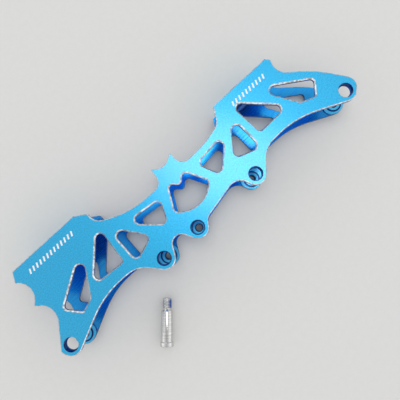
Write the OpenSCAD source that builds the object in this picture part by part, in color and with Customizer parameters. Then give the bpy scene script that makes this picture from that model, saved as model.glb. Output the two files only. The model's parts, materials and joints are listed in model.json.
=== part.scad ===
// Inline skate frame for four small or three large wheels, lying on its side, with one loose wheel axle.
// X runs from the rear axle to the front axle, Y from the axle line up to the boot decks, Z across the frame.
// The floor is Z = 0, under the thread side wall. The rear axle hole is at X = 0, Y = 0.

/* [Wheel layout] */
// Distance between neighbouring axles with four small wheels
axle_pitch = 81; // [80.5:0.5:84]
// Distance from the rear axle to the middle axle of three large wheels
middle_axle_x = 110.5; // [110.5:0.5:112]
// Diameter of the large wheels that the decks leave room for
large_wheel_d = 110; // [100:1:110]
// Room left around a large wheel
wheel_room = 2; // [1:0.5:3]

/* [Side walls] */
// Clear width between the rings that hold a wheel's bearings
wheel_gap = 24.2; // [24:0.1:26]
// Thickness of a side wall
wall_t = 3; // [2.5:0.1:4.5]
// Radius of the metal around an axle hole
boss_r = 7.4; // [6.8:0.1:7.8]
// Height of the upper edge beside the crest above the axle line
waist_h = 37.1; // [36.5:0.1:39]
// Height of the crest above the axle line
crest_h = 48.4; // [47:0.1:52]
// Width of the bright chamfer around the windows
chamfer = 0.9; // [0.4:0.1:0.9]
// Width of the outline's chamfer as a share of the windows' chamfer
edge_share = 0.6; // [0.3:0.1:0.9]

/* [Boot decks] */
// Height of the rear deck's top above the axle line
rear_deck_h = 61; // [60:0.5:66]
// Height of the front deck's top above the axle line
front_deck_h = 52; // [51:0.5:56]
// Thickness of both decks
deck_t = 7; // [5:0.5:7]
// Radius of the fillet where a deck meets a wall
deck_fillet = 3; // [1:0.5:3]
// Distance between the rear and the front boot bolt
bolt_spacing = 165; // [160:1:168]
// Distance from the middle of the wheelbase back to the middle between the boot bolts
bolts_back = 9; // [4:1:14]
// Width of the cross slot for a boot bolt
slot_w = 8.5; // [8.2:0.1:9]
// Length of the cross slot for a boot bolt
slot_len = 16; // [12:1:20]

/* [Axle and its holes] */
// Diameter of the axle's shaft
axle_d = 8; // [7:0.1:8.2]
// Diameter of the axle's head
head_d = 9.4; // [9:0.1:10]
// Height of the axle's head
head_h = 3.2; // [2.5:0.1:3.3]
// Outside diameter of the axle's thread
thread_d = 6; // [5:0.5:6.5]
// Width across the flats of the hexagon socket
socket_w = 4; // [3:0.5:5]
// Depth of the hexagon socket
socket_depth = 2.6; // [1.5:0.1:3]
// Clearance of the shaft and the head in their holes, on the diameter
hole_clearance = 0.2; // [0.1:0.05:0.4]
// How much smaller the tapped hole's core is than the thread
core_less = 0.9; // [0.7:0.1:1.1]
// Height of the pad around an axle hole on the inside of a wall
pad_h = 1.2; // [1:0.1:2]
// Radius of that pad
pad_r = 8.2; // [7.8:0.1:9]
// Height of the ring on top of a pad
ring_h = 0.5; // [0.3:0.1:0.8]
// Outside diameter of that ring
ring_d = 9.8; // [9.6:0.1:10.4]
// Width of the groove around the ring
groove_w = 0.9; // [0.5:0.1:1.1]
// Depth of the groove around the ring
groove_depth = 0.4; // [0.2:0.1:0.8]
// Length of the axle's thread
thread_len = 7.5; // [6:0.5:9]
// Length of the cone between shaft and thread
cone_len = 1.5; // [0.5:0.1:2]
// Thickness of the nylon patch on the thread
patch_t = 0.2; // [0.1:0.05:0.4]
// Length of the nylon patch
patch_len = 6.5; // [3:0.5:7]
// Part of the turn that the patch covers, in degrees
patch_turn = 130; // [60:10:180]
// Where the head of the loose axle lies along the frame
loose_axle_x = 37.1; // [20:0.1:60]
// How far the head of the loose axle lies below the axle line
loose_axle_away = 45.9; // [40:0.1:70]
// Direction from the head to the thread of the loose axle, in degrees from X
loose_axle_heading = 47.6; // [20:0.1:80]

/* [Hidden] */
$fn = 64;

// How far a cut runs past the face that it starts from
past = 1;
// Largest distance between an arc and the straight steps that draw it
arc_sag = 0.04;

hole_len = wall_t + pad_h + ring_h;
frame_w = wheel_gap + 2 * hole_len;
rear = 0;
second = axle_pitch;
third = middle_axle_x;
fourth = 2 * axle_pitch;
front = 3 * axle_pitch;
middle = front / 2;
axle_places = [rear, second, third, fourth, front];
wheel_room_r = large_wheel_d / 2 + wheel_room;
counterbore_depth = head_h + hole_clearance / 2;
axle_len = frame_w - hole_clearance / 2;
shaft_len = axle_len - head_h - thread_len;
rear_bolt_x = middle - bolts_back - bolt_spacing / 2;
front_bolt_x = rear_bolt_x + bolt_spacing;
rear_deck_x = [rear + 4, second - 27];
front_deck_x = [fourth + 12, front - 24];
fit_gap = 0.02;
edge_chamfer = chamfer * edge_share;
// Radius of the outline's sharp points, and the shortest straight run that joins two arcs' circles
tip_r = edge_chamfer + 0.2;
arc_gap = 0.2;

// The outline and the windows run like a belt around circles [x, y, radius]. The belt turns left around a
// circle with a radius above zero, and right around one below zero, so growing every radius by the same
// amount moves the whole belt outwards by that amount.
rear_hollow = [second + 19, waist_h + 62, -62];
front_hollow = [fourth - 20.5, waist_h + 68, -68];
rear_deck_hollow = within(rear_hollow, rear_deck_h - 7.8, -8, -1);
front_deck_hollow = within(front_hollow, front_deck_h - 4.8, -7, 1);
front_scoop = [front - 13, front_deck_h - 9, -10];
upper_scallop = [rear - 7.2, rear_deck_h - 16.6, -10.7];
lower_scallop = [rear - 6.4, rear_deck_h - 37.9, -11.6];
notch_r = (third - second) / 2 - boss_r - 1.4;
wall_outline = [
    // Rear toe and rear axle
    [rear - 6.2, 0.3, 1.8],
    [rear, 0, boss_r],
    // Arch over the first gap between the wheels
    [second - 31, -56.4, -65],
    [second - 25.2, -9.6, -18],
    [second, 0, boss_r],
    // Notch between the second and the middle axle
    [(second + third) / 2, -0.6, -notch_r],
    [third, 0, boss_r],
    beside([third, 0, boss_r], -23, -6.5),
    beside([fourth, 0, boss_r], 192, -9),
    [fourth, 0, boss_r],
    // Arch over the last gap between the wheels
    [fourth + 25.2, -9.6, -18],
    [fourth + 31, -56.4, -65],
    [front, 0, boss_r],
    // Front toe, bowed front edge and scoop
    [front + 2.4, 1.4, 6.7],
    [front - 63.8, -31.8, 80],
    front_scoop,
    beside(front_scoop, 148, tip_r),
    // Front deck
    [front - 24.4, front_deck_h - tip_r, tip_r],
    [fourth + 10.8, front_deck_h - tip_r, tip_r],
    front_deck_hollow,
    front_hollow,
    // Crest with two points
    [middle + 14.9, waist_h + 6, -6],
    [middle + 7.9, crest_h - tip_r, tip_r],
    [middle, crest_h + 6, -9.3],
    [middle - 7.9, crest_h - tip_r, tip_r],
    [middle - 14.9, waist_h + 6, -6],
    // Long hollow up to the rear deck
    rear_hollow,
    rear_deck_hollow,
    beside(rear_deck_hollow, 168, tip_r + 0.4),
    // Rear deck
    [second - 26, rear_deck_h - tip_r, tip_r],
    [rear + 2.2, rear_deck_h - tip_r, tip_r],
    // Two scallops at the rear end
    beside(upper_scallop, 57.5, tip_r),
    upper_scallop,
    beside(upper_scallop, between(upper_scallop, lower_scallop), tip_r),
    lower_scallop
];

// Circle of this radius just clear of another one, on the other side of the belt, in this direction
function beside(circle, angle, radius) =
    let (reach = abs(circle[2]) + abs(radius) + arc_gap)
    [circle[0] + reach * cos(angle), circle[1] + reach * sin(angle), radius];

// Circle of this radius at height y that lies just inside a larger one, on its left (-1) or right (1)
function within(circle, y, radius, side) =
    let (reach = abs(circle[2]) - abs(radius) + arc_gap)
    [circle[0] + side * sqrt(reach * reach - (y - circle[1]) * (y - circle[1])), y, radius];

// Direction from the first circle to a point's circle that lies just clear of both, on their right
function between(a, b) =
    let (
        to_a = abs(a[2]) + tip_r + arc_gap,
        to_b = abs(b[2]) + tip_r + arc_gap,
        apart = norm([b[0] - a[0], b[1] - a[1]])
    )
    atan2(b[1] - a[1], b[0] - a[0]) + acos((to_a * to_a + apart * apart - to_b * to_b) / (2 * to_a * apart));

// Windows by their outer chamfer edge
first_bay = (rear + second) / 2;
last_bay = (fourth + front) / 2;
rear_slot_window = [
    [first_bay - 20.7, 11.4, 2],
    [first_bay - 13.5, 15.3, 3],
    [first_bay - 5.2, 31.8, 4.4],
    [first_bay - 26.1, 19.6, 3.4]
];
rear_tall_window = [
    [first_bay + 2.2, 21.1, 4.2],
    [first_bay + 17.8, 18.4, 2.5],
    [first_bay + 18.1, 38, 4]
];
rear_fin_window = [
    [second - 11, 15.6, 4.3],
    [second - 2.1, 18.4, 4],
    [second - 10.8, 29.5, 4.3]
];
rear_small_window = [
    [second + 15.3, 20.4, 4.2],
    [second + 18.8, 28, 4.1],
    [second + 5.2, 29.7, 4]
];
middle_window = [
    [middle - 12, 18.2, 3.4],
    [middle, 30.1, 20.2],
    [middle + 12, 18.2, 3.4],
    [middle + 5.6, 29.5, 3.7],
    [middle, 32.2, -2.4],
    [middle - 5.6, 29.5, 3.7]
];
front_tall_window = [
    [last_bay - 16.8, 21.1, 3.6],
    [last_bay - 1.6, 21.9, 4.2],
    [last_bay - 17.5, 38.5, 4]
];
front_slot_window = [
    [last_bay + 23.1, 12.2, 2.2],
    [last_bay + 27.4, 19.3, 3.4],
    [last_bay + 6.9, 31.9, 4.2],
    [last_bay + 15.1, 16.4, 3.2]
];
windows = [
    rear_slot_window,
    rear_tall_window,
    rear_fin_window,
    rear_small_window,
    middle_window,
    mirrored(rear_small_window),
    mirrored(rear_fin_window),
    front_tall_window,
    front_slot_window
];

// The same circles, mirrored about the middle of the wheelbase and taken in the other order
function mirrored(circles) = [
    for (i = [len(circles) - 1 : -1 : 0]) [2 * middle - circles[i][0], circles[i][1], circles[i][2]]
];

// Direction from a circle's centre to the point where the belt leaves it for the next circle
function leaving(a, b) =
    let (reach = norm([b[0] - a[0], b[1] - a[1]]))
    atan2(b[1] - a[1], b[0] - a[0]) - acos(max(-1, min(1, (a[2] - b[2]) / reach)));

// A turn between 0 and 350 degrees, or a slight one back
function turn(angle) =
    let (whole = angle - 360 * floor(angle / 360))
    whole > 350 ? whole - 360 : whole;

// Points of the belt around the circles, moved outwards by grow
function belt(circles, grow = 0) = [
    for (i = [0 : len(circles) - 1])
        let (
            last = circles[(i + len(circles) - 1) % len(circles)],
            here = circles[i],
            next = circles[(i + 1) % len(circles)],
            start = leaving(last, here),
            change = leaving(here, next) - start,
            sweep = here[2] > 0 ? turn(change) : -turn(-change),
            steps = max(1, ceil(abs(sweep) / (2 * acos(1 - arc_sag / max(abs(here[2]), 2 * arc_sag)))))
        )
        for (k = [0 : steps])
            let (angle = start + sweep * k / steps)
            [here[0] + (here[2] + grow) * cos(angle), here[1] + (here[2] + grow) * sin(angle)]
];

function raised(points, z) = [for (p = points) [p[0], p[1], z]];

// Sloped band of a chamfer: a ring of triangular section, with the belt low below and the belt high on top
module chamfer_band(circles, low, high) {
    below = belt(circles, low);
    above = belt(circles, high);
    count = len(below);
    foot = wall_t - abs(high - low);
    points = concat(raised(below, foot), raised(above, wall_t), raised(above, foot));
    faces = [
        for (ring = [0 : 2], i = [0 : count - 1])
            let (j = (i + 1) % count, a = ring * count, b = (ring + 1) % 3 * count)
            low > high ? [a + i, b + i, b + j, a + j] : [a + i, a + j, b + j, b + i]
    ];
    polyhedron(points, faces);
}

// Flat layer of the wall, with the outline and the windows moved outwards by these amounts
module wall_layer(height, outline_grow, window_grow) {
    linear_extrude(height)
        difference() {
            polygon(belt(wall_outline, outline_grow));
            for (circles = windows)
                polygon(belt(circles, window_grow));
        }
}

// Thicker metal around the axle holes, inside the wall's outline
module axle_pads() {
    linear_extrude(pad_h)
        intersection() {
            polygon(belt(wall_outline));
            for (x = axle_places)
                translate([x, 0])
                    circle(pad_r);
        }
}

// Side wall without its axle holes, inner face on Z = 0 and outer face up
module wall_plate() {
    difference() {
        union() {
            wall_layer(wall_t - chamfer, 0, -chamfer);
            translate([0, 0, wall_t - chamfer])
                wall_layer(chamfer - edge_chamfer, 0, 0);
            translate([0, 0, wall_t - edge_chamfer])
                wall_layer(edge_chamfer, -edge_chamfer, 0);
            chamfer_band(wall_outline, 0, -edge_chamfer);
            for (circles = windows)
                chamfer_band(circles, -chamfer, 0);
            translate([0, 0, -pad_h])
                axle_pads();
        }
        for (x = axle_places)
            translate([x, 0, -pad_h - past])
                difference() {
                    cylinder(h = past + groove_depth, d = ring_d + 2 * groove_w);
                    cylinder(h = past + groove_depth, d = ring_d);
                }
    }
    for (x = axle_places)
        translate([x, 0, -pad_h - ring_h])
            cylinder(h = ring_h, d = ring_d);
}

// Wall on the side of the axle heads
module head_side_wall() {
    color("deepskyblue")
        translate([0, 0, frame_w - wall_t])
            difference() {
                wall_plate();
                for (x = axle_places) {
                    translate([x, 0, wall_t - hole_len - past])
                        cylinder(h = hole_len + 2 * past, d = axle_d + hole_clearance);
                    translate([x, 0, wall_t - counterbore_depth])
                        cylinder(h = counterbore_depth + past, d = head_d + hole_clearance);
                }
            }
}

// Wall on the side of the axle threads
module thread_side_wall() {
    color("deepskyblue")
        translate([0, 0, wall_t])
            mirror([0, 0, 1])
                difference() {
                    wall_plate();
                    for (x = axle_places)
                        translate([x, 0, wall_t - hole_len - past])
                            cylinder(h = hole_len + 2 * past, d = thread_d - core_less);
                }
}

// Deck between the walls, with fillets below, room for a large wheel and a cross slot for the boot bolt
module deck(span, top, bolt_x, wheel_x) {
    near = wall_t;
    far = frame_w - wall_t;
    under = top - deck_t;
    low = under - deck_fillet;
    corner = [for (angle = [0 : 10 : 90]) [low + deck_fillet * sin(angle), deck_fillet * (1 - cos(angle))]];
    section = concat(
        [[top, near], [top, far]],
        [for (p = corner) [p[0], far - p[1]]],
        [for (i = [len(corner) - 1 : -1 : 0]) [corner[i][0], near + corner[i][1]]]
    );
    difference() {
        translate([span[0], 0, 0])
            rotate([90, 0, 90])
                linear_extrude(span[1] - span[0])
                    polygon(section);
        translate([wheel_x, 0, -past])
            cylinder(h = frame_w + 2 * past, r = wheel_room_r, $fn = 128);
        translate([bolt_x, under - past, frame_w / 2])
            rotate([-90, 0, 0])
                bolt_slot(deck_t + 2 * past);
    }
}

// Slot that lets a boot bolt move across the frame
module bolt_slot(height) {
    straight = slot_len - slot_w;
    translate([-slot_w / 2, -straight / 2, 0])
        cube([slot_w, straight, height]);
    for (side = [-1, 1])
        translate([0, side * straight / 2, 0])
            cylinder(h = height, d = slot_w);
}

module rear_deck() {
    color("dodgerblue")
        deck(rear_deck_x, rear_deck_h, rear_bolt_x, rear);
}

module front_deck() {
    color("dodgerblue")
        deck(front_deck_x, front_deck_h, front_bolt_x, front);
}

// Puts a piece of the axle, drawn along Z from the head up, on the floor with head rim and shaft end touching
module on_floor() {
    tilt = atan((head_d - axle_d) / 2 / (shaft_len - cone_len));
    translate([loose_axle_x, -loose_axle_away, 0])
        rotate([0, 0, loose_axle_heading])
            translate([head_h, 0, 0])
                rotate([0, tilt, 0])
                    translate([-head_h, 0, head_d / 2])
                        rotate([0, 90, 0])
                            children();
}

// Steel axle with a hexagon socket in its head, a shaft for the bearings and a thread
module wheel_axle() {
    shaft_end = head_h + shaft_len - cone_len;
    color("silver")
        on_floor()
            difference() {
                union() {
                    cylinder(h = head_h, d = head_d);
                    cylinder(h = shaft_end, d = axle_d);
                    translate([0, 0, shaft_end])
                        cylinder(h = cone_len, d1 = axle_d, d2 = thread_d);
                    cylinder(h = axle_len, d = thread_d);
                }
                translate([0, 0, -past])
                    cylinder(h = past + socket_depth, d = socket_w / cos(30), $fn = 6);
            }
}

// Nylon patch that keeps the thread from working loose
module thread_lock_patch() {
    patch_end = axle_len - (thread_len - patch_len) / 2;
    inside = thread_d / 2 + fit_gap;
    color("royalblue")
        on_floor()
            translate([0, 0, patch_end - patch_len])
                rotate([0, 0, 270 - patch_turn / 2])
                    rotate_extrude(angle = patch_turn)
                        translate([inside, 0])
                            square([patch_t, patch_len]);
}

head_side_wall();
thread_side_wall();
rear_deck();
front_deck();
wheel_axle();
thread_lock_patch();
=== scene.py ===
"""Finish of an inline skate frame and its loose axle, laid out as an add-on and run as a script."""

import json
from math import atan2, ceil, cos, pi, radians, sin, tau

import bmesh
import bpy
from bpy.props import FloatProperty, FloatVectorProperty, IntProperty, PointerProperty
from mathutils import Matrix, Vector


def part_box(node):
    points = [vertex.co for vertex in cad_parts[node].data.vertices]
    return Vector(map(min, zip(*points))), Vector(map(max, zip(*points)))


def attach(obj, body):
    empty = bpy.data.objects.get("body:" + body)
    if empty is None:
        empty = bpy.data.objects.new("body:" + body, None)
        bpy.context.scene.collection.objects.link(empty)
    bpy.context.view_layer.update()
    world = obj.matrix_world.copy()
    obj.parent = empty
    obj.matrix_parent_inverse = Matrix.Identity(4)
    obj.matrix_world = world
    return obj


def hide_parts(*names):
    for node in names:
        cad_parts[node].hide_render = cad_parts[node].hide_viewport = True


bl_info = {
    "name": "Inline skate frame",
    "version": (1, 0, 0),
    "blender": (4, 5, 0),
    "location": "View3D > Sidebar > Skate frame",
    "description": "Finishes a milled skate frame and the wheel axle that lies beside it",
    "category": "Object",
}

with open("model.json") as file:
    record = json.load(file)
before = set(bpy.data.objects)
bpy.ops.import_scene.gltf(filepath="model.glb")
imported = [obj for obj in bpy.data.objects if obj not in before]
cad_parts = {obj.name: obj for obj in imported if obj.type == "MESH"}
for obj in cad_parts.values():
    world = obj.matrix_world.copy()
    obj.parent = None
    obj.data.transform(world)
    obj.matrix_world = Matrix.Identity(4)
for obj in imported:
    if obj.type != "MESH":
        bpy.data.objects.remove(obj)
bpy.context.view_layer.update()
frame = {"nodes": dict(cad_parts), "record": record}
MM = 0.001
FRAME_BODY = "frame"
AXLE_BODY = "loose_axle"
ALUMINIUM_SLOT = "blue_anodised_aluminium"
STEEL_SLOT = "plated_steel"
NYLON_SLOT = "blue_nylon"
TAPPED_HOLES = [m for m in frame["record"]["mounts"] if m["kind"] == "threaded_hole"]

# Corners of the CAD triangles nearer than this are one corner
WELD = 0.002 * MM
# An edge shorter than this has no length
NO_LENGTH = WELD / 10
# Faces that meet at less than the first angle are one flat face, over the second one their edge
# shows, and over the third one it is square enough to be deburred
FLAT_ANGLE = radians(0.2)
EDGE_ANGLE = radians(28)
SQUARE_EDGE_ANGLE = radians(60)
# How far a face's normal points along an axis: less than the first is a side, more than the
# second is a face across that axis, and a chamfer lies between them
SIDE_LEAN = 0.4
ACROSS_LEAN = 0.9
# Room around a tapped hole's core in which a corner belongs to the hole
HOLE_ROOM = 0.05 * MM

# Finishes of the walls and decks, by material number; the channel's and pads' colours carry painted
# light, the recesses' painted shade and the sides' partly painted shade
BLASTED, SIDE, CUT, CHANNEL, PAD, RECESS = range(6)
# A noise's values up to the first are its low spots, and from the second on its high ones
NOISE_LOW, NOISE_HIGH = 0.35, 0.65
# Share of a noise's change that is left along a tool mark, and around a turned ring
ALONG_MARK = 0.03
AROUND_RING = 0.02
# Brightness of the darker spots of the laser marks and of the floor's paint
MARK_SHADE = 0.85
FLOOR_SHADE = 0.985

# Thread: the ridge's foot and crest as parts of the pitch, its two directions and the helix's
# steps in a turn
RIDGE_FOOT, RIDGE_CREST = 0.88, 0.2
OUTWARDS, INWARDS = 0.0, pi
TURN_STEPS = 36
# Axle: flat sides of its round parts and steps of its head's rounding
AXLE_SIDES = 96
RIM_STEPS = 4
# Nylon patch: cells across it and along a pitch, how steeply its ends and sides rise, the part of
# its thickness that the thread's ridges show in, its thin edge's height over the thread's core and
# its underside's depth below that edge
PATCH_CELLS_ACROSS, PATCH_CELLS_A_PITCH = 28, 10
PATCH_END_RISE, PATCH_SIDE_RISE = 8, 6
PATCH_RIDGES = 0.8
PATCH_EDGE = 0.1 * MM
PATCH_UNDERSIDE = 0.05 * MM

# How far the floor reaches to every side, in metres, how little it lies below the frame, and how
# near to the camera a thing is still seen
FLOOR_REACH = 20
FLOOR_DROP = 0.02 * MM
NEAREST_SEEN = 10 * MM


def linear(hex_colour):
    """Linear red, green and blue of an sRGB colour such as #2E9FDB."""
    parts = [int(hex_colour[i:i + 2], 16) / 255 for i in (1, 3, 5)]
    return tuple(c / 12.92 if c <= 0.04045 else ((c + 0.055) / 1.055) ** 2.4 for c in parts)


def size_prop(name, description, millimetres):
    return FloatProperty(name=name, description=description, default=millimetres * MM,
                         unit="LENGTH", precision=5)


def angle_prop(name, description, degrees):
    return FloatProperty(name=name, description=description, default=radians(degrees),
                         subtype="ANGLE")


def colour_prop(name, description, hex_colour):
    return FloatVectorProperty(name=name, description=description, default=linear(hex_colour),
                               subtype="COLOR")


def place_prop(name, description, millimetres):
    place = tuple(v * MM for v in millimetres)
    return FloatVectorProperty(name=name, description=description, default=place,
                               subtype="XYZ", unit="LENGTH")


class FinishSettings(bpy.types.PropertyGroup):
    """Sizes and colours of the frame's surfaces."""
    face_colour: colour_prop("Face", "Blue of the blasted faces", "#1DC4F9")
    grain_colour: colour_prop("Grain", "Darker blue in the pits of the blasted grain", "#14A5DC")
    # The sides' two blues are partly the milled finish's own deeper tone and partly painted shade,
    # darkened as if the sides mirrored a dark floor
    milled_side_and_painted_shade_colour: colour_prop("Sides", "Blue of the milled sides", "#165FA8")
    side_streak_and_painted_shade_colour: colour_prop("Streaks", "Darker blue of the sides' tool marks", "#0A3678")
    # The channel's faces are the face's own anodised blue, set apart and lightened as painted light
    # for the light that reaches them through the windows and open side
    channel_painted_light_colour: colour_prop("Channel", "Blue of the wheel channel's faces", "#2CB2F8")
    channel_sweep_painted_light_colour: colour_prop("Sweeps", "Darker blue of the channel's tool marks", "#1C94E6")
    # The pads' two blues are lightened as painted highlight, for the highlights that the pads catch
    # inside the holes
    pad_painted_light_colour: colour_prop("Pads", "Blue of the pads and rings round the axle holes", "#5CCDF6")
    pad_mark_painted_light_colour: colour_prop("Pad marks", "Darker blue of the pads' tool marks", "#38B2E8")
    # The grooves' and head seats' floors are darkened as painted shade, for the shade at the bottom
    # of these recesses
    recess_painted_shade_colour: colour_prop("Recesses", "Deep blue of the grooves and head seats", "#0F4A9C")
    recess_mark_painted_shade_colour: colour_prop("Recess marks", "Darker blue of their tool marks", "#082C6B")
    cut_colour: colour_prop("Cut edges", "Bare metal of the bright chamfers", "#E9EBEC")
    cut_shade_colour: colour_prop("Cut marks", "Duller metal of the chamfers' marks", "#8F959D")
    mark_colour: colour_prop("Marks", "White of the laser marks", "#F2F6F7")
    grain_size: size_prop("Grain size", "Width of a pit of the blasted grain, as drawn", 0.8)
    streak_size: size_prop("Streak size", "Width of a mill's tool mark, as drawn", 0.5)
    chatter_size: size_prop("Chatter size", "Length of a dull run on the bright chamfers", 1.6)
    edge_break: size_prop("Edge break", "Width of the deburred edges", 0.15)
    seat_depth: size_prop("Head seats", "Depth of the axle heads' seats in their wall", 3.3)
    groove_level: size_prop("Grooves", "Height of the grooves' floors above the channel faces", 0.8)


class AxleSettings(bpy.types.PropertyGroup):
    """Sizes, place and colours of the loose axle."""
    head_d: size_prop("Head", "Diameter of the head", 9.4)
    head_h: size_prop("Head height", "Height of the head", 3.2)
    rim: size_prop("Rim", "Rounding of the head's rim", 0.5)
    edge: size_prop("Edges", "Width of the small turned chamfers", 0.2)
    socket_w: size_prop("Socket", "Width across the flats of the hexagon socket", 4)
    socket_depth: size_prop("Socket depth", "Depth of the hexagon socket", 2.6)
    shaft_d: size_prop("Shaft", "Diameter of the shaft", 8)
    shaft_end: size_prop("Shaft end", "Distance from the head's end to the end of the shaft", 24.5)
    cone_len: size_prop("Cone", "Length of the cone between shaft and thread", 1.5)
    length: size_prop("Length", "Length of the axle", 33.5)
    thread_d: size_prop("Thread", "Outside diameter of the thread", 6)
    core_d: size_prop("Core", "Core diameter of the thread", 5.1)
    pitch: size_prop("Pitch", "Step of the thread", 1)
    patch_t: size_prop("Patch", "Thickness of the nylon patch over the thread", 0.2)
    patch_len: size_prop("Patch length", "Length of the nylon patch", 6.5)
    patch_turn: angle_prop("Patch turn", "Part of the turn that the patch covers", 130)
    head_place: place_prop("Place", "Point on the floor under the head's end", (37.1, -45.9, 0))
    heading: angle_prop("Heading", "Direction from the head to the thread, from X", 47.6)
    steel_colour: colour_prop("Steel", "Bright plating", "#DEDEDC")
    ring_colour: colour_prop("Turning rings", "Duller rings that the lathe left", "#C6C6C4")
    nylon_colour: colour_prop("Nylon", "Blue of the nylon patch", "#144A9E")
    nylon_shade_colour: colour_prop("Nylon shade", "Darker blue in the patch's grain", "#0E3574")
    ring_size: size_prop("Ring size", "Step of the turning rings, as drawn", 0.5)
    nylon_grain: size_prop("Nylon grain", "Width of a grain of the nylon patch", 0.6)


class MarkSettings(bpy.types.PropertyGroup):
    """Plain rows of laser-marked bars on the head side wall."""
    bar_w: size_prop("Bar width", "Width of a bar", 1.1)
    bar_len: size_prop("Bar length", "Length of a bar", 3.4)
    bar_step: size_prop("Bar step", "Distance between bars", 3.0)
    slant: angle_prop("Slant", "Lean of a bar", 24)
    rear_count: IntProperty(name="Rear bars", description="Bars by the rear deck", default=13)
    front_count: IntProperty(name="Front bars", description="Bars by the front deck", default=10)
    below_edge: size_prop("Below the edge", "From a deck's edge to the middle of its bars", 8)
    thickness: size_prop("Thickness", "Height of the bars over the face, which is that much lower",
                         0.02)


class StageSettings(bpy.types.PropertyGroup):
    """Camera, lamp, sky and floor."""
    camera_place: place_prop("Camera", "Where the camera stands", (116.2, -8.6, 300.4))
    camera_aim: place_prop("Aim", "Point of the upper wall that it looks at", (123.6, 12.0, 33.6))
    camera_roll: angle_prop("Roll", "Turn of the camera about its line of sight", 42.88)
    lens: FloatProperty(name="Lens", description="Focal length on a 36 mm wide sensor",
                        default=37.0, unit="CAMERA")
    floor_colour: colour_prop("Floor", "Plain pale floor", "#D9D9D7")
    stipple_size: size_prop("Stipple size", "Width of a spot in the floor's paint", 4)
    key_place: place_prop("Key lamp", "Middle of the soft lamp overhead", (273, 107, 936))
    key_length: size_prop("Key lamp length", "Length of the soft lamp overhead", 520)
    key_width: size_prop("Key lamp width", "Width of the soft lamp overhead", 250)
    key_turn: angle_prop("Key lamp turn", "Direction of the lamp's length, from X", 123)
    key_power: FloatProperty(name="Key power", description="Power of the soft lamp overhead",
                             default=1.15, unit="POWER")
    sky_low: FloatProperty(name="Low sky", description="Strength of the light from the horizon",
                           default=1.2)
    sky_high: FloatProperty(name="High sky", description="Strength of the light from above",
                            default=0.48)
    sky_bend: FloatProperty(name="Sky bend", description="How late the sky fades towards the top",
                            default=3.0)


class FrameSettings(bpy.types.PropertyGroup):
    """All settings of the skate frame."""
    finish: PointerProperty(name="Finish", description="The frame's surfaces", type=FinishSettings)
    axle: PointerProperty(name="Axle", description="The loose axle", type=AxleSettings)
    marks: PointerProperty(name="Marks", description="The laser marks", type=MarkSettings)
    stage: PointerProperty(name="Stage", description="Camera, light and floor", type=StageSettings)


def settings():
    """The open scene's settings of the skate frame."""
    return bpy.context.scene.skate_frame


def add_node(tree, kind, inputs=None, **fields):
    """A new node with its fields set, and its inputs set to values or linked to other outputs."""
    node = tree.nodes.new(kind)
    for name, value in fields.items():
        setattr(node, name, value)
    for name, value in (inputs or {}).items():
        if isinstance(value, bpy.types.NodeSocket):
            tree.links.new(value, node.inputs[name])
        else:
            node.inputs[name].default_value = value
    return node


def opaque(colour):
    return (*colour, 1)


def darker(colour, share):
    return tuple(share * c for c in colour)


def surface(name, values):
    """A new material, its tree and its shader, with the shader's plain values set."""
    material = bpy.data.materials.new(name)
    material.use_nodes = True
    tree = material.node_tree
    tree.nodes.clear()
    shader = add_node(tree, "ShaderNodeBsdfPrincipled", values)
    add_node(tree, "ShaderNodeOutputMaterial", {"Surface": shader.outputs["BSDF"]})
    return material, tree, shader


def patterned(tree, shader, noise, colours, roughness, relief):
    """Lets a noise choose between two colours and two roughnesses, each pair from its low to its
    high spots, and raise a fine relief of this strength and height."""
    pattern = add_node(tree, "ShaderNodeMapRange", {
        "Value": noise, "From Min": NOISE_LOW, "From Max": NOISE_HIGH}).outputs["Result"]
    low, high = map(opaque, colours)
    colour = add_node(tree, "ShaderNodeMix", {"Factor": pattern, "A": low, "B": high},
                      data_type="RGBA")
    rough = add_node(tree, "ShaderNodeMapRange", {
        "Value": pattern, "To Min": roughness[0], "To Max": roughness[1]})
    bump = add_node(tree, "ShaderNodeBump", {
        "Height": pattern, "Strength": relief[0], "Distance": relief[1]})
    tree.links.new(colour.outputs["Result"], shader.inputs["Base Color"])
    tree.links.new(rough.outputs["Result"], shader.inputs["Roughness"])
    tree.links.new(bump.outputs["Normal"], shader.inputs["Normal"])


def blasted_anodised():
    """Bead-blasted aluminium, dyed and sealed: a satin blue with fine sparkling grain and soft,
    wide highlights."""
    s = settings().finish
    # The sealed layer is aluminium oxide, so its IOR is that of sapphire
    material, tree, shader = surface("blasted_blue_anodised_aluminium", {
        "Metallic": 1.0, "Coat Weight": 0.8, "Coat Roughness": 0.2, "Coat IOR": 1.77})
    place = add_node(tree, "ShaderNodeTexCoord").outputs["Object"]
    # Real pits are about 0.1 mm wide; they are drawn at grain_size to show
    grain = add_node(tree, "ShaderNodeTexNoise", {
        "Vector": place, "Scale": 1 / s.grain_size, "Detail": 2.0})
    patterned(tree, shader, grain.outputs["Fac"], (s.grain_colour, s.face_colour),
              roughness=(0.44, 0.36), relief=(0.25, 0.02 * MM))
    return material


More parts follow.
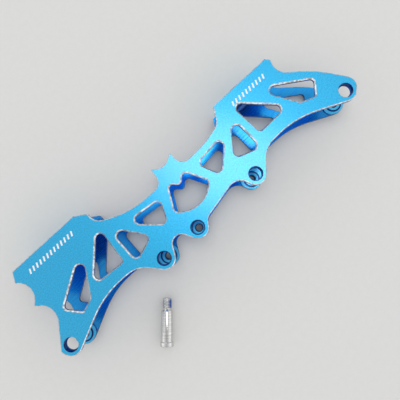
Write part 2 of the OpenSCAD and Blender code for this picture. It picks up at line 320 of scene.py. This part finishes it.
def milled_anodised(name, colours, run, roughness=(0.42, 0.26), coat=(0.5, 0.2), relief=0.3):
    """Milled aluminium, dyed and sealed: shinier blue with tool marks along one axis. Its two blues
    carry painted light on the channel and pads, painted shade in the recesses and, beside the
    milled tone, painted shade on the sides.
    The coat is given as its weight and roughness."""
    s = settings().finish
    material, tree, shader = surface(name, {
        "Metallic": 1.0, "Coat Weight": coat[0], "Coat Roughness": coat[1], "Coat IOR": 1.6})
    place = add_node(tree, "ShaderNodeTexCoord").outputs["Object"]
    stretch = add_node(tree, "ShaderNodeMapping", {
        "Vector": place, "Scale": [ALONG_MARK if axis == run else 1 for axis in "xyz"]})
    # Real tool marks are finer; they are drawn at streak_size to show
    streaks = add_node(tree, "ShaderNodeTexNoise", {
        "Vector": stretch.outputs["Vector"], "Scale": 1 / s.streak_size, "Detail": 3.0})
    patterned(tree, shader, streaks.outputs["Fac"], colours, roughness, (relief, 0.02 * MM))
    return material


def cut_bright():
    """Bare aluminium, chamfered after anodising: bright silver with short dull runs where the
    cutter chattered."""
    s = settings().finish
    material, tree, shader = surface("bare_cut_aluminium", {"Metallic": 1.0})
    place = add_node(tree, "ShaderNodeTexCoord").outputs["Object"]
    chatter = add_node(tree, "ShaderNodeTexNoise", {
        "Vector": place, "Scale": 1 / s.chatter_size, "Detail": 3.0})
    patterned(tree, shader, chatter.outputs["Fac"], (s.cut_shade_colour, s.cut_colour),
              roughness=(0.4, 0.2), relief=(0.3, 0.03 * MM))
    return material


def plated_steel():
    """Turned steel with bright plating: a clear silver with fine rings around the axle."""
    s = settings().axle
    material, tree, shader = surface("plated_turned_steel", {"Metallic": 1.0})
    place = add_node(tree, "ShaderNodeTexCoord").outputs["Object"]
    along = add_node(tree, "ShaderNodeMapping", {"Vector": place, "Rotation": (0, 0, -s.heading)})
    squeeze = add_node(tree, "ShaderNodeMapping", {
        "Vector": along.outputs["Vector"], "Scale": (1, AROUND_RING, AROUND_RING)})
    # Real rings are about 0.1 mm apart; they are drawn at ring_size to show
    rings = add_node(tree, "ShaderNodeTexNoise", {
        "Vector": squeeze.outputs["Vector"], "Scale": 1 / s.ring_size, "Detail": 3.0})
    patterned(tree, shader, rings.outputs["Fac"], (s.ring_colour, s.steel_colour),
              roughness=(0.22, 0.15), relief=(0.6, 0.02 * MM))
    return material


def dyed_nylon():
    """Sprayed-on nylon thread lock: a matt, slightly grainy blue plastic."""
    s = settings().axle
    material, tree, shader = surface("dyed_nylon", {"IOR": 1.53})
    place = add_node(tree, "ShaderNodeTexCoord").outputs["Object"]
    grain = add_node(tree, "ShaderNodeTexNoise", {
        "Vector": place, "Scale": 1 / s.nylon_grain, "Detail": 3.0})
    patterned(tree, shader, grain.outputs["Fac"], (s.nylon_shade_colour, s.nylon_colour),
              roughness=(0.65, 0.5), relief=(0.4, 0.04 * MM))
    return material


def laser_white():
    """Laser-bleached oxide: a matt white that keeps a little of the blasted grain."""
    s = settings().finish
    material, tree, shader = surface("laser_marked_oxide", {"IOR": 1.6})
    place = add_node(tree, "ShaderNodeTexCoord").outputs["Object"]
    grain = add_node(tree, "ShaderNodeTexNoise", {
        "Vector": place, "Scale": 1 / s.grain_size, "Detail": 2.0})
    colours = (darker(s.mark_colour, MARK_SHADE), s.mark_colour)
    patterned(tree, shader, grain.outputs["Fac"], colours,
              roughness=(0.7, 0.55), relief=(0.2, 0.01 * MM))
    return material


def plain_floor():
    """Matt painted board: pale, even and without a gleam."""
    s = settings().stage
    material, tree, shader = surface("matt_painted_board", {"Specular IOR Level": 0.1})
    place = add_node(tree, "ShaderNodeTexCoord").outputs["Object"]
    stipple = add_node(tree, "ShaderNodeTexNoise", {
        "Vector": place, "Scale": 1 / s.stipple_size, "Detail": 2.0})
    colours = (darker(s.floor_colour, FLOOR_SHADE), s.floor_colour)
    patterned(tree, shader, stipple.outputs["Fac"], colours,
              roughness=(0.9, 0.85), relief=(0.05, 0.02 * MM))
    return material


def welded(node_name):
    """A copy of a CAD node's mesh, its loose triangles joined and its flat faces made whole."""
    bm = bmesh.new()
    bm.from_mesh(frame["nodes"][node_name].data)
    bmesh.ops.remove_doubles(bm, verts=bm.verts, dist=WELD)
    bmesh.ops.dissolve_limit(bm, angle_limit=FLAT_ANGLE, verts=bm.verts, edges=bm.edges)
    bm.normal_update()
    return bm


def break_edges(bm, width, seam):
    """Takes the sharpness off the square edges, as a deburring tool does, but for those in a seam.
    The new faces get the sides' finish."""
    square = [e for e in bm.edges
              if e.is_manifold and e.calc_face_angle() > SQUARE_EDGE_ANGLE and not seam(e)]
    bmesh.ops.bevel(bm, geom=square, offset=width, offset_type="OFFSET", segments=1, profile=0.5,
                    affect="EDGES", clamp_overlap=False, material=SIDE)
    bmesh.ops.dissolve_degenerate(bm, dist=NO_LENGTH, edges=bm.edges)


def new_piece(name, bm, materials):
    """A piece of the object from a finished bmesh, with smooth curves and crisp edges."""
    mesh = bpy.data.meshes.new(name)
    bm.to_mesh(mesh)
    bm.free()
    for material in materials:
        mesh.materials.append(material)
    mesh.shade_smooth()
    mesh.set_sharp_from_angle(angle=EDGE_ANGLE)
    piece = bpy.data.objects.new(name, mesh)
    bpy.context.scene.collection.objects.link(piece)
    return piece


def seat(piece, body, slot, *nodes):
    """Puts a piece on its body and hides the CAD nodes that it stands for. The slot is not used."""
    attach(piece, body)
    if nodes:
        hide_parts(*nodes)


def deck_seam():
    """A test for edges that lie where a wall and a deck are one piece of metal."""
    boxes = [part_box("rear_deck"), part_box("front_deck")]

    def within(point, low, high):
        return all(low[i] - WELD <= point[i] <= high[i] + WELD for i in range(3))

    def inside(edge):
        middle = (edge.verts[0].co + edge.verts[1].co) / 2
        return any(within(middle, low, high) for low, high in boxes)
    return inside


def open_tapped_holes(bm):
    """Widens the tapped holes, drawn at their core, to the bottom of the thread."""
    widen = settings().axle.thread_d / settings().axle.core_d
    for hole in TAPPED_HOLES:
        x, y, _ = hole["pos_m"]
        reach = hole["dims"]["r_mm"] * MM + HOLE_ROOM
        for v in bm.verts:
            dx, dy = v.co.x - x, v.co.y - y
            if dx * dx + dy * dy < reach * reach:
                v.co.x, v.co.y = x + dx * widen, y + dy * widen


def at_level(value, levels):
    return any(abs(value - level) < WELD for level in levels)


def wall_finish(face, deck_tops, channel, recessed):
    """Number of a wall face's finish, from its direction and the level that it lies at."""
    upright = abs(face.normal.z)
    _, y, z = face.calc_center_median()
    if face.normal.y > ACROSS_LEAN and at_level(y, deck_tops):
        return BLASTED
    if upright < SIDE_LEAN:
        return SIDE
    if upright < ACROSS_LEAN:
        return CUT
    # Channel faces take the lightened blues, which are painted light
    if at_level(z, channel):
        return CHANNEL
    # Recess floors take the darkened blues, which are painted shade
    if at_level(z, recessed):
        return RECESS
    # Pads take the lightened blues, which are painted highlight
    return PAD if channel[0] < z < channel[1] else BLASTED


class SKATE_OT_side_walls(bpy.types.Operator):
    """Finish both side walls: deburred edges, blasted faces, milled sides, pads and chamfers."""
    bl_idname = "skate.side_walls"
    bl_label = "Side walls"

    def execute(self, context):
        s = settings().finish
        # The channel is milled with a finer feed, so it mirrors the windows across it
        materials = [
            blasted_anodised(),
            # Sides: milled finish, its blues partly darkened as painted shade
            milled_anodised("side_milled_blue_anodised_aluminium",
                            (s.side_streak_and_painted_shade_colour, s.milled_side_and_painted_shade_colour), "z"),
            cut_bright(),
            # Channel: its blues lightened as painted light
            milled_anodised("channel_milled_painted_light_anodised_aluminium",
                            (s.channel_sweep_painted_light_colour, s.channel_painted_light_colour), "x",
                            roughness=(0.3, 0.2), coat=(0.25, 0.12), relief=0.15),
            # Pads: their blues lightened as painted highlight
            milled_anodised("turned_painted_light_anodised_aluminium",
                            (s.pad_mark_painted_light_colour, s.pad_painted_light_colour), "z"),
            # Recesses: their blues darkened as painted shade
            milled_anodised("recess_painted_shade_anodised_aluminium",
                            (s.recess_mark_painted_shade_colour, s.recess_painted_shade_colour), "z"),
        ]
        seam = deck_seam()
        channel = [corner.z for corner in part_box("rear_deck")]
        deck_tops = [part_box(node)[1].y for node in ("rear_deck", "front_deck")]
        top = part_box("head_side_wall")[1].z
        recessed = [channel[0] + s.groove_level, channel[1] - s.groove_level, top - s.seat_depth]
        for node in ("head_side_wall", "thread_side_wall"):
            bm = welded(node)
            if node == "thread_side_wall":
                open_tapped_holes(bm)
            # The face makes room for the marks, so that they end flush with the CAD
            for v in bm.verts:
                v.co.z = min(v.co.z, top - settings().marks.thickness)
            for face in bm.faces:
                face.material_index = wall_finish(face, deck_tops, channel, recessed)
            break_edges(bm, s.edge_break, seam)
            piece = new_piece(node + "_finished", bm, materials)
            seat(piece, FRAME_BODY, ALUMINIUM_SLOT, node)
        return {"FINISHED"}


class SKATE_OT_boot_decks(bpy.types.Operator):
    """Finish both boot decks: deburred bolt slots, blasted tops and milled undersides."""
    bl_idname = "skate.boot_decks"
    bl_label = "Boot decks"

    def execute(self, context):
        materials = [bpy.data.materials["blasted_blue_anodised_aluminium"],
                     bpy.data.materials["side_milled_blue_anodised_aluminium"]]
        for node in ("rear_deck", "front_deck"):
            bm = welded(node)
            low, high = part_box(node)

            def at_wall(edge):
                return any(v.co.z < low.z + WELD or v.co.z > high.z - WELD for v in edge.verts)
            for face in bm.faces:
                face.material_index = BLASTED if face.normal.y > ACROSS_LEAN else SIDE
            break_edges(bm, settings().finish.edge_break, at_wall)
            piece = new_piece(node + "_finished", bm, materials)
            seat(piece, FRAME_BODY, ALUMINIUM_SLOT, node)
        return {"FINISHED"}


def node_group(name, sockets):
    """A new Geometry Nodes tree with these inputs and a geometry output, and the input sockets."""
    tree = bpy.data.node_groups.new(name, "GeometryNodeTree")
    for label, kind in sockets.items():
        tree.interface.new_socket(label, in_out="INPUT", socket_type=kind)
    tree.interface.new_socket("Geometry", in_out="OUTPUT", socket_type="NodeSocketGeometry")
    return tree, add_node(tree, "NodeGroupInput").outputs


def close_group(tree, instances, material):
    """Ends a tree by making its copies real and giving them their material."""
    real = add_node(tree, "GeometryNodeRealizeInstances", {"Geometry": instances})
    coloured = add_node(tree, "GeometryNodeSetMaterial", {
        "Geometry": real.outputs["Geometry"], "Material": material})
    add_node(tree, "NodeGroupOutput", {"Geometry": coloured.outputs["Geometry"]})


def grown(name, tree, points, values):
    """A plain mesh piece that a tree grows on these points, with its inputs set by name."""
    mesh = bpy.data.meshes.new(name)
    mesh.from_pydata(points, [], [])
    piece = bpy.data.objects.new(name, mesh)
    bpy.context.scene.collection.objects.link(piece)
    modifier = piece.modifiers.new(tree.name, "NODES")
    modifier.node_group = tree
    for socket in tree.interface.items_tree:
        if socket.in_out == "INPUT" and socket.name in values:
            modifier[socket.identifier] = values[socket.name]
    evaluated = piece.evaluated_get(bpy.context.evaluated_depsgraph_get())
    made = bpy.data.meshes.new_from_object(evaluated)
    piece.modifiers.remove(modifier)
    piece.data = made
    if not made.polygons:
        raise RuntimeError(f"{name} came out empty")
    return piece


def thread_tree():
    """Screw thread: one ridge swept along a helix, copied to every point."""
    tree, given = node_group("Screw thread", {
        "Places": "NodeSocketGeometry", "Radius": "NodeSocketFloat", "Pitch": "NodeSocketFloat",
        "Length": "NodeSocketFloat", "Ridge height": "NodeSocketFloat",
        "Ridge foot": "NodeSocketFloat", "Ridge crest": "NodeSocketFloat",
        "Ridge side": "NodeSocketFloat", "Turn": "NodeSocketVector",
        "Material": "NodeSocketMaterial"})
    turns = add_node(tree, "ShaderNodeMath", {0: given["Length"], 1: given["Pitch"]},
                     operation="DIVIDE")
    helix = add_node(tree, "GeometryNodeCurveSpiral", {
        "Resolution": TURN_STEPS, "Rotations": turns.outputs[0], "Start Radius": given["Radius"],
        "End Radius": given["Radius"], "Height": given["Length"]})
    upright = add_node(tree, "GeometryNodeSetCurveNormal", {"Curve": helix.outputs["Curve"]},
                       mode="Z_UP")
    ridge = add_node(tree, "GeometryNodeCurvePrimitiveQuadrilateral", {
        "Height": given["Ridge height"], "Bottom Width": given["Ridge foot"],
        "Top Width": given["Ridge crest"], "Offset": 0.0}, mode="TRAPEZOID")
    side = add_node(tree, "ShaderNodeCombineXYZ", {"Z": given["Ridge side"]})
    faced = add_node(tree, "GeometryNodeTransform", {
        "Geometry": ridge.outputs["Curve"], "Rotation": side.outputs[0]})
    swept = add_node(tree, "GeometryNodeCurveToMesh", {
        "Curve": upright.outputs["Curve"], "Profile Curve": faced.outputs["Geometry"],
        "Fill Caps": True})
    placed = add_node(tree, "GeometryNodeInstanceOnPoints", {
        "Points": given["Places"], "Instance": swept.outputs["Mesh"], "Rotation": given["Turn"]})
    close_group(tree, placed.outputs["Instances"], given["Material"])
    return tree


def ridge_sizes():
    """Sizes of the thread's ridge, which the tapped holes and the axle share."""
    s = settings().axle
    height = (s.thread_d - s.core_d) / 2
    return {"Radius": s.core_d / 2 + height / 2, "Pitch": s.pitch, "Ridge height": height,
            "Ridge foot": RIDGE_FOOT * s.pitch, "Ridge crest": RIDGE_CREST * s.pitch}


def bar_tree():
    """Row of thin slanted bars."""
    tree, given = node_group("Row of bars", {
        "Places": "NodeSocketGeometry", "Count": "NodeSocketInt", "Step": "NodeSocketVector",
        "Bar": "NodeSocketVector", "Turn": "NodeSocketVector", "Material": "NodeSocketMaterial"})
    row = add_node(tree, "GeometryNodeMeshLine", {"Count": given["Count"], "Offset": given["Step"]})
    bar = add_node(tree, "GeometryNodeMeshCube", {"Size": given["Bar"]})
    bars = add_node(tree, "GeometryNodeInstanceOnPoints", {
        "Points": row.outputs["Mesh"], "Instance": bar.outputs["Mesh"], "Rotation": given["Turn"]})
    rows = add_node(tree, "GeometryNodeInstanceOnPoints", {
        "Points": given["Places"], "Instance": bars.outputs["Instances"]})
    close_group(tree, rows.outputs["Instances"], given["Material"])
    return tree


class SKATE_OT_tapped_threads(bpy.types.Operator):
    """Cut the threads of the five axle holes in the thread side wall."""
    bl_idname = "skate.tapped_threads"
    bl_label = "Tapped threads"

    def execute(self, context):
        depth = TAPPED_HOLES[0]["dims"]["length_mm"] * MM
        margin = settings().finish.edge_break + settings().axle.pitch / 2
        points = [(m["pos_m"][0], m["pos_m"][1], margin) for m in TAPPED_HOLES]
        piece = grown("tapped_hole_threads", thread_tree(), points, {
            **ridge_sizes(), "Length": depth - 2 * margin, "Ridge side": INWARDS,
            "Turn": (0, 0, 0),
            "Material": bpy.data.materials["side_milled_blue_anodised_aluminium"]})
        seat(piece, FRAME_BODY, ALUMINIUM_SLOT)
        return {"FINISHED"}


def axle_pose():
    """Matrix that lays the axle, drawn along Z from the head up, on the floor on its head's rim
    and its shaft's end."""
    s = settings().axle
    tilt = atan2((s.head_d - s.shaft_d) / 2, s.shaft_end - s.head_h)
    return (Matrix.Translation(s.head_place) @ Matrix.Rotation(s.heading, 4, "Z")
            @ Matrix.Translation((s.head_h, 0, 0)) @ Matrix.Rotation(tilt, 4, "Y")
            @ Matrix.Translation((-s.head_h, 0, s.head_d / 2))
            @ Matrix.Rotation(radians(90), 4, "Y"))


def about_axle(pose, radius, angle, height):
    """Point at this distance from the axle's middle line, angle about it and height along it."""
    return pose @ Vector((radius * cos(angle), radius * sin(angle), height))


def turned(rings, sides, pose):
    """A closed bmesh over rings (height, radius), where a radius is a number or a function of the
    angle."""
    bm = bmesh.new()
    loops = []
    for height, radius in rings:
        loop = []
        for k in range(sides):
            angle = tau * k / sides
            r = radius(angle) if callable(radius) else radius
            loop.append(bm.verts.new(about_axle(pose, r, angle, height)))
        loops.append(loop)
    for below, above in zip(loops, loops[1:]):
        for k in range(sides):
            j = (k + 1) % sides
            bm.faces.new((below[k], below[j], above[j], above[k]))
    bm.faces.new(reversed(loops[0]))
    bm.faces.new(loops[-1])
    bmesh.ops.recalc_face_normals(bm, faces=bm.faces)
    return bm


class SKATE_OT_wheel_axle(bpy.types.Operator):
    """Turn the loose axle with its hexagon socket and rounded head, and cut its thread."""
    bl_idname = "skate.wheel_axle"
    bl_label = "Wheel axle"

    def execute(self, context):
        s = settings().axle
        steel = plated_steel()
        core, shaft, head, small = s.core_d / 2, s.shaft_d / 2, s.head_d / 2, s.edge

        def hexagon(angle):
            return s.socket_w / 2 / cos((angle % (pi / 3)) - pi / 6)
        quarter = [pi / 2 * k / RIM_STEPS for k in range(RIM_STEPS + 1)]
        rings = [
            (s.socket_depth, small),
            (s.socket_depth, hexagon),
            (1.5 * small, hexagon),
            (0, s.socket_w / 2 / cos(pi / 6) + small),
            *[(s.rim * (1 - cos(a)), head - s.rim * (1 - sin(a))) for a in quarter],
            (s.head_h - small, head),
            (s.head_h, head - small),
            (s.head_h, shaft + small),
            (s.head_h + small, shaft),
            (s.shaft_end - small, shaft),
            (s.shaft_end, shaft - small / 2),
            (s.shaft_end + s.cone_len, core),
            (s.length - 2 * small, core),
            (s.length, core - 2 * small),
        ]
        pose = axle_pose()
        piece = new_piece("wheel_axle_finished", turned(rings, AXLE_SIDES, pose), [steel])
        seat(piece, AXLE_BODY, STEEL_SLOT, "wheel_axle")
        start = s.shaft_end + s.cone_len + s.pitch / 4
        points = [pose @ Vector((0, 0, start))]
        thread = grown("axle_thread", bpy.data.node_groups["Screw thread"], points, {
            **ridge_sizes(), "Length": s.length - s.pitch / 2 - start, "Ridge side": OUTWARDS,
            "Turn": tuple(pose.to_euler()), "Material": steel})
        seat(thread, AXLE_BODY, STEEL_SLOT)
        return {"FINISHED"}


class SKATE_OT_lock_patch(bpy.types.Operator):
    """Lay the nylon patch over the axle's thread, which shows through it as soft ridges."""
    bl_idname = "skate.lock_patch"
    bl_label = "Thread lock patch"

    def execute(self, context):
        s = settings().axle
        pose = axle_pose()
        edge_r, crest_r = s.core_d / 2 + PATCH_EDGE, s.thread_d / 2 + s.patch_t
        middle = s.length - (s.length - s.shaft_end - s.cone_len) / 2
        across, along = PATCH_CELLS_ACROSS, ceil(s.patch_len / s.pitch) * PATCH_CELLS_A_PITCH
        bm = bmesh.new()
        outer, inner = [], []
        for i in range(along + 1):
            u = i / along
            height = middle + (u - 0.5) * s.patch_len
            row_out, row_in = [], []
            for j in range(across + 1):
                v = j / across
                angle = -pi / 2 + (v - 0.5) * s.patch_turn
                rise = min(1, PATCH_END_RISE * min(u, 1 - u), PATCH_SIDE_RISE * min(v, 1 - v))
                ridge = 0.5 + 0.5 * cos(tau * height / s.pitch - angle)
                dip = s.patch_t * PATCH_RIDGES * (1 - ridge) * rise
                r = edge_r + (crest_r - edge_r) * rise ** 0.5 - dip
                row_out.append(bm.verts.new(about_axle(pose, r, angle, height)))
                r = edge_r - PATCH_UNDERSIDE
                row_in.append(bm.verts.new(about_axle(pose, r, angle, height)))
            outer.append(row_out)
            inner.append(row_in)
        for i in range(along):
            for j in range(across):
                bm.faces.new((outer[i][j], outer[i][j + 1], outer[i + 1][j + 1], outer[i + 1][j]))
                bm.faces.new((inner[i][j], inner[i + 1][j], inner[i + 1][j + 1], inner[i][j + 1]))
        border = [(i, 0) for i in range(along)] + [(along, j) for j in range(across)]
        border += [(i, across) for i in range(along, 0, -1)]
        border += [(0, j) for j in range(across, 0, -1)]
        for (i, j), (k, m) in zip(border, border[1:] + border[:1]):
            bm.faces.new((outer[i][j], outer[k][m], inner[k][m], inner[i][j]))
        bmesh.ops.recalc_face_normals(bm, faces=bm.faces)
        piece = new_piece("thread_lock_patch_finished", bm, [dyed_nylon()])
        seat(piece, AXLE_BODY, NYLON_SLOT, "thread_lock_patch")
        return {"FINISHED"}


class SKATE_OT_marks(bpy.types.Operator):
    """Lay plain rows of white bars along both decks' edges on the head side wall."""
    bl_idname = "skate.marks"
    bl_label = "Laser marks"

    def execute(self, context):
        s = settings().marks
        tree, white = bar_tree(), laser_white()
        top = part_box("head_side_wall")[1].z
        for node, count in (("rear_deck", s.rear_count), ("front_deck", s.front_count)):
            low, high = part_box(node)
            start = (low.x + high.x - (count - 1) * s.bar_step) / 2
            points = [(start, high.y - s.below_edge, top - s.thickness)]
            piece = grown(node.replace("deck", "marks"), tree, points, {
                "Count": count, "Step": (s.bar_step, 0, 0),
                "Bar": (s.bar_w, s.bar_len, 2 * s.thickness), "Turn": (0, 0, -s.slant),
                "Material": white})
            seat(piece, FRAME_BODY, ALUMINIUM_SLOT)
        return {"FINISHED"}


def stand(thing, place, x, y, z):
    """Puts a camera or lamp at a place, with these three axes."""
    axes = Matrix((x, y, z)).transposed()
    thing.matrix_world = Matrix.Translation(place) @ axes.to_4x4()
    bpy.context.scene.collection.objects.link(thing)


def soft_sky(low, high, bend):
    """A white sky that is bright at the horizon and fades towards the top."""
    world = bpy.data.worlds.new("soft_studio_sky")
    world.use_nodes = True
    tree = world.node_tree
    tree.nodes.clear()
    direction = add_node(tree, "ShaderNodeTexCoord").outputs["Generated"]
    height = add_node(tree, "ShaderNodeSeparateXYZ", {"Vector": direction}).outputs["Z"]
    fade = add_node(tree, "ShaderNodeMath", {0: height, 1: bend}, operation="POWER")
    glow = add_node(tree, "ShaderNodeMapRange", {
        "Value": fade.outputs["Value"], "To Min": low, "To Max": high})
    light = add_node(tree, "ShaderNodeBackground", {
        "Color": (1, 1, 1, 1), "Strength": glow.outputs["Result"]})
    add_node(tree, "ShaderNodeOutputWorld", {"Surface": light.outputs["Background"]})
    return world


class SKATE_OT_stage(bpy.types.Operator):
    """Set up the camera, the soft light and the floor."""
    bl_idname = "skate.stage"
    bl_label = "Stage"

    def execute(self, context):
        s, scene = settings().stage, context.scene
        scene.view_settings.view_transform = "Standard"
        camera = bpy.data.objects.new("camera", bpy.data.cameras.new("camera"))
        camera.data.lens = s.lens
        camera.data.clip_start = NEAREST_SEEN
        back = (Vector(s.camera_place) - Vector(s.camera_aim)).normalized()
        level = (Vector((0, 1, 0)) - back.y * back).normalized()
        up = level * cos(s.camera_roll) + level.cross(back) * sin(s.camera_roll)
        stand(camera, s.camera_place, up.cross(back), up, back)
        scene.camera = camera

        lamp = bpy.data.lights.new("overhead_softbox", "AREA")
        lamp.shape, lamp.size, lamp.size_y = "ELLIPSE", s.key_length, s.key_width
        lamp.energy = s.key_power
        away = (Vector(s.key_place) - Vector(s.camera_aim)).normalized()
        side = away.cross((cos(s.key_turn), sin(s.key_turn), 0)).normalized()
        softbox = bpy.data.objects.new("overhead_softbox", lamp)
        stand(softbox, s.key_place, side.cross(away), side, away)
        scene.world = soft_sky(s.sky_low, s.sky_high, s.sky_bend)

        bm = bmesh.new()
        bm.faces.new([bm.verts.new((FLOOR_REACH * x, FLOOR_REACH * y, -FLOOR_DROP))
                      for x, y in ((-1, -1), (1, -1), (1, 1), (-1, 1))])
        new_piece("floor", bm, [plain_floor()])
        return {"FINISHED"}


OPERATORS = [SKATE_OT_stage, SKATE_OT_side_walls, SKATE_OT_boot_decks, SKATE_OT_tapped_threads,
             SKATE_OT_wheel_axle, SKATE_OT_lock_patch, SKATE_OT_marks]


class SKATE_PT_panel(bpy.types.Panel):
    """Lists the pieces in the order in which they are made."""
    bl_label = "Skate frame"
    bl_idname = "SKATE_PT_panel"
    bl_space_type = "VIEW_3D"
    bl_region_type = "UI"
    bl_category = "Skate frame"

    def draw(self, context):
        for operator in OPERATORS:
            self.layout.operator(operator.bl_idname)


CLASSES = [FinishSettings, AxleSettings, MarkSettings, StageSettings, FrameSettings,
           *OPERATORS, SKATE_PT_panel]


def register():
    for cls in CLASSES:
        bpy.utils.register_class(cls)
    bpy.types.Scene.skate_frame = PointerProperty(
        name="Skate frame", description="All settings of the skate frame", type=FrameSettings)


def unregister():
    del bpy.types.Scene.skate_frame
    for cls in reversed(CLASSES):
        bpy.utils.unregister_class(cls)


def main():
    register()
    for operator in OPERATORS:
        group, name = operator.bl_idname.split(".")
        getattr(getattr(bpy.ops, group), name)()


if __name__ == "__main__":
    main()
